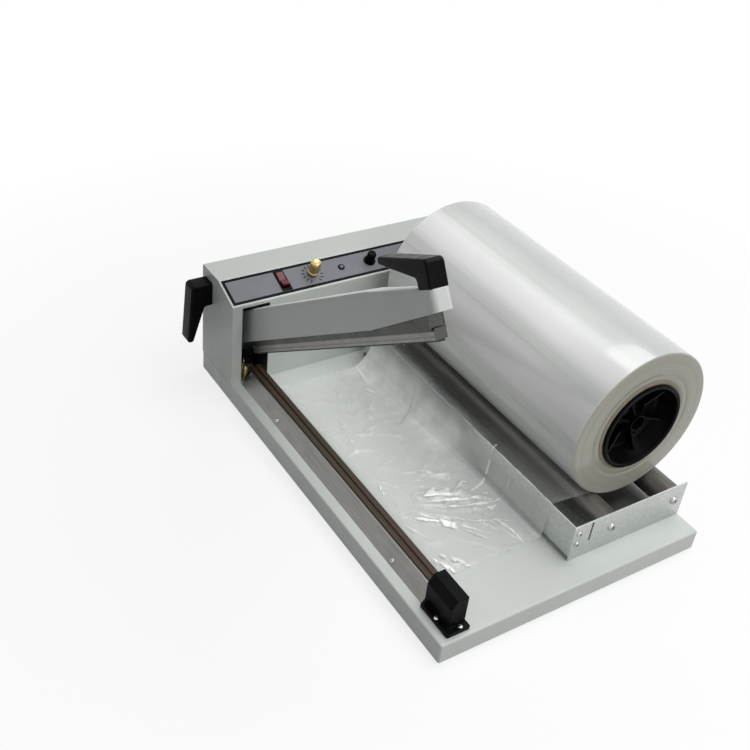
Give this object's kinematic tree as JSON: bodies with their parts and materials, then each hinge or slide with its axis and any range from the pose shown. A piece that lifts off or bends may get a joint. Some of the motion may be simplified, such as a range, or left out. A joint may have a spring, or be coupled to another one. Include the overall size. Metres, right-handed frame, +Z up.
{
  "type": "sleeve sealer",
  "caption": "Bench film sealer: a low white base with a control box, a long raised sealing arm over a seal bar, and a film roll lying on rollers in a cradle.",
  "frame": {"origin": "middle of the whole machine's footprint, from the side handle's grip to the back of the film roll, on the surface it stands on", "axes": "+X from the control box to the end block (the operator's right), +Y away from the operator towards the film roll, +Z up"},
  "size_m": [0.572, 0.4352, 0.3922],
  "materials": {
    "white_coat": "satin powder coat",
    "grey_coat": "satin powder coat",
    "label_grey": "satin printed film",
    "black_plastic": "moulded, fine grain",
    "black_rubber": "matte",
    "red_plastic": "gloss",
    "lens_grey": "translucent",
    "steel": "brushed",
    "dark_steel": "dark brushed",
    "chrome": "polished",
    "brass": "turned",
    "aluminium": "extruded",
    "copper_coil": "enamelled wire",
    "board_green": "satin",
    "glass_tube": "clear",
    "ptfe_brown": "coated cloth",
    "silicone_black": "soft",
    "paper_core": "wound paper",
    "film_milky": "wound film",
    "film_clear": "thin clear film",
    "steel_lamination": "varnished"
  },
  "bodies": {
    "base": {"base_pan": "white_coat", "bottom_cover": "steel", "rubber_feet": "black_rubber", "control_box_shell": "white_coat", "panel_label": "label_grey", "switch_housing": "black_plastic", "timer_potentiometer": "steel", "indicator_lamp": "black_plastic", "indicator_lens": "lens_grey", "fuse_holder": "black_plastic", "glass_fuse": "glass_tube", "cord_grommet": "black_plastic", "transformer_core": "steel_lamination", "transformer_coil": "copper_coil", "transformer_strap": "steel", "timer_board": "board_green", "board_standoffs": "black_plastic", "board_components": "black_plastic", "seal_bar_base": "aluminium", "seal_insulation": "ptfe_brown", "ptfe_strip": "ptfe_brown", "heating_wire": "steel", "terminal_posts": "brass", "front_shield": "steel", "shield_clips": "steel", "end_block": "black_plastic", "small_base_screws": "chrome", "large_base_screws": "chrome", "side_handle": "black_plastic", "pivot_bracket": "steel", "pivot_shaft": "steel", "pivot_clips": "steel", "return_spring": "steel", "micro_switch": "black_plastic", "cradle_right_plate": "steel", "cradle_left_plate": "steel", "cradle_front_plate": "steel", "cradle_screws": "chrome", "roller_axles": "steel", "axle_screws": "chrome", "film_web": "film_clear"},
    "arm": {"arm_channel": "grey_coat", "pivot_bush": "brass", "bar_carrier": "dark_steel", "press_bar": "aluminium", "silicone_strip": "silicone_black", "arm_screws": "chrome", "arm_handle": "black_plastic"},
    "rocker": {"switch_rocker": "red_plastic"},
    "timer_dial": {"timer_shaft": "steel", "timer_knob": "brass"},
    "fuse_plug": {"fuse_cap": "black_plastic"},
    "trip_lever": {"switch_lever": "steel"},
    "film_reel": {"film_roll": "film_milky", "film_core": "paper_core", "core_plugs": "black_plastic"},
    "roller_front": {"front_roller": "dark_steel", "front_roller_caps": "black_plastic"},
    "roller_rear": {"rear_roller": "dark_steel", "rear_roller_caps": "black_plastic"}
  },
  "joints": [
    {"name": "arm_hinge", "type": "hinge", "parent": "base", "child": "arm", "pos_m": [-0.248, -0.14494, 0.0881], "axis": [0, 1, 0], "range_deg": [0, 34.4], "stiffness_Nm_per_rad": 2.2, "springref_deg": -100.27, "deforming": ["return_spring"]},
    {"name": "rocker_hinge", "type": "hinge", "parent": "base", "child": "rocker", "pos_m": [-0.2202, -0.10244, 0.15613], "axis": [0, 1, 0], "range_deg": [0, 16]},
    {"name": "timer_spin", "type": "hinge", "parent": "base", "child": "timer_dial", "pos_m": [-0.2195, -0.05844, 0.158], "axis": [0.3487, 0, 0.9372], "range_deg": [-150, 150]},
    {"name": "fuse_turn", "type": "hinge", "parent": "base", "child": "fuse_plug", "pos_m": [-0.2195, 0.02956, 0.158], "axis": [0.3487, 0, 0.9372], "range_deg": [-60, 0]},
    {"name": "lever_hinge", "type": "hinge", "parent": "base", "child": "trip_lever", "pos_m": [-0.228, -0.13444, 0.05841], "axis": [0, 1, 0], "range_deg": [0, 12.5]},
    {"name": "reel_spin", "type": "hinge", "parent": "base", "child": "film_reel", "pos_m": [0.023, 0.12156, 0.1583], "axis": [1, 0, 0], "continuous": true},
    {"name": "front_roller_spin", "type": "hinge", "parent": "base", "child": "roller_front", "pos_m": [0.023, 0.07206, 0.0575], "axis": [1, 0, 0], "continuous": true},
    {"name": "rear_roller_spin", "type": "hinge", "parent": "base", "child": "roller_rear", "pos_m": [0.023, 0.17106, 0.0575], "axis": [1, 0, 0], "continuous": true}
  ],
  "couplings": [
    {"joint": "front_roller_spin", "follows": "reel_spin", "ratio": -6},
    {"joint": "rear_roller_spin", "follows": "reel_spin", "ratio": -6},
    {"joint": "lever_hinge", "follows": "arm_hinge", "ratio": 0.34884}
  ]
}
